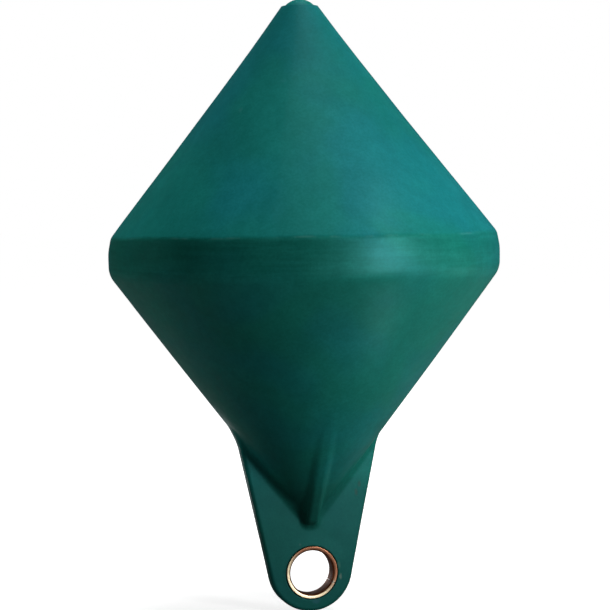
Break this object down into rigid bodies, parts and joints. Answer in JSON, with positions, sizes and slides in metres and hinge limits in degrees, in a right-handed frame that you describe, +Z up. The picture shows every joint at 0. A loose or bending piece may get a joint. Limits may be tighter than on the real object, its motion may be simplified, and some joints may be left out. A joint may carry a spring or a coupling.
{
  "type": "navigation buoy",
  "caption": "Small biconical navigation buoy: a foam-filled moulded hull with a mooring lug below, a domed filler plug on top and a bronze bush in the lug's eye.",
  "frame": {"origin": "on the hull's axis at the mid-height of the belt, where the water stands", "axes": "+Z up along the hull's axis, +Y along the mooring eye's bore, +X across the lug's plate"},
  "size_m": [0.3999, 0.4, 0.6279],
  "materials": {
    "hull_polyethylene": "satin, green, dusty",
    "plug_polyethylene": "satin, green",
    "bush_bronze": "satin, worn bright on its ends, brown inside"
  },
  "bodies": {
    "root": {"hull": "hull_polyethylene", "filler_plug": "plug_polyethylene", "eye_bush": "bush_bronze"}
  },
  "joints": []
}
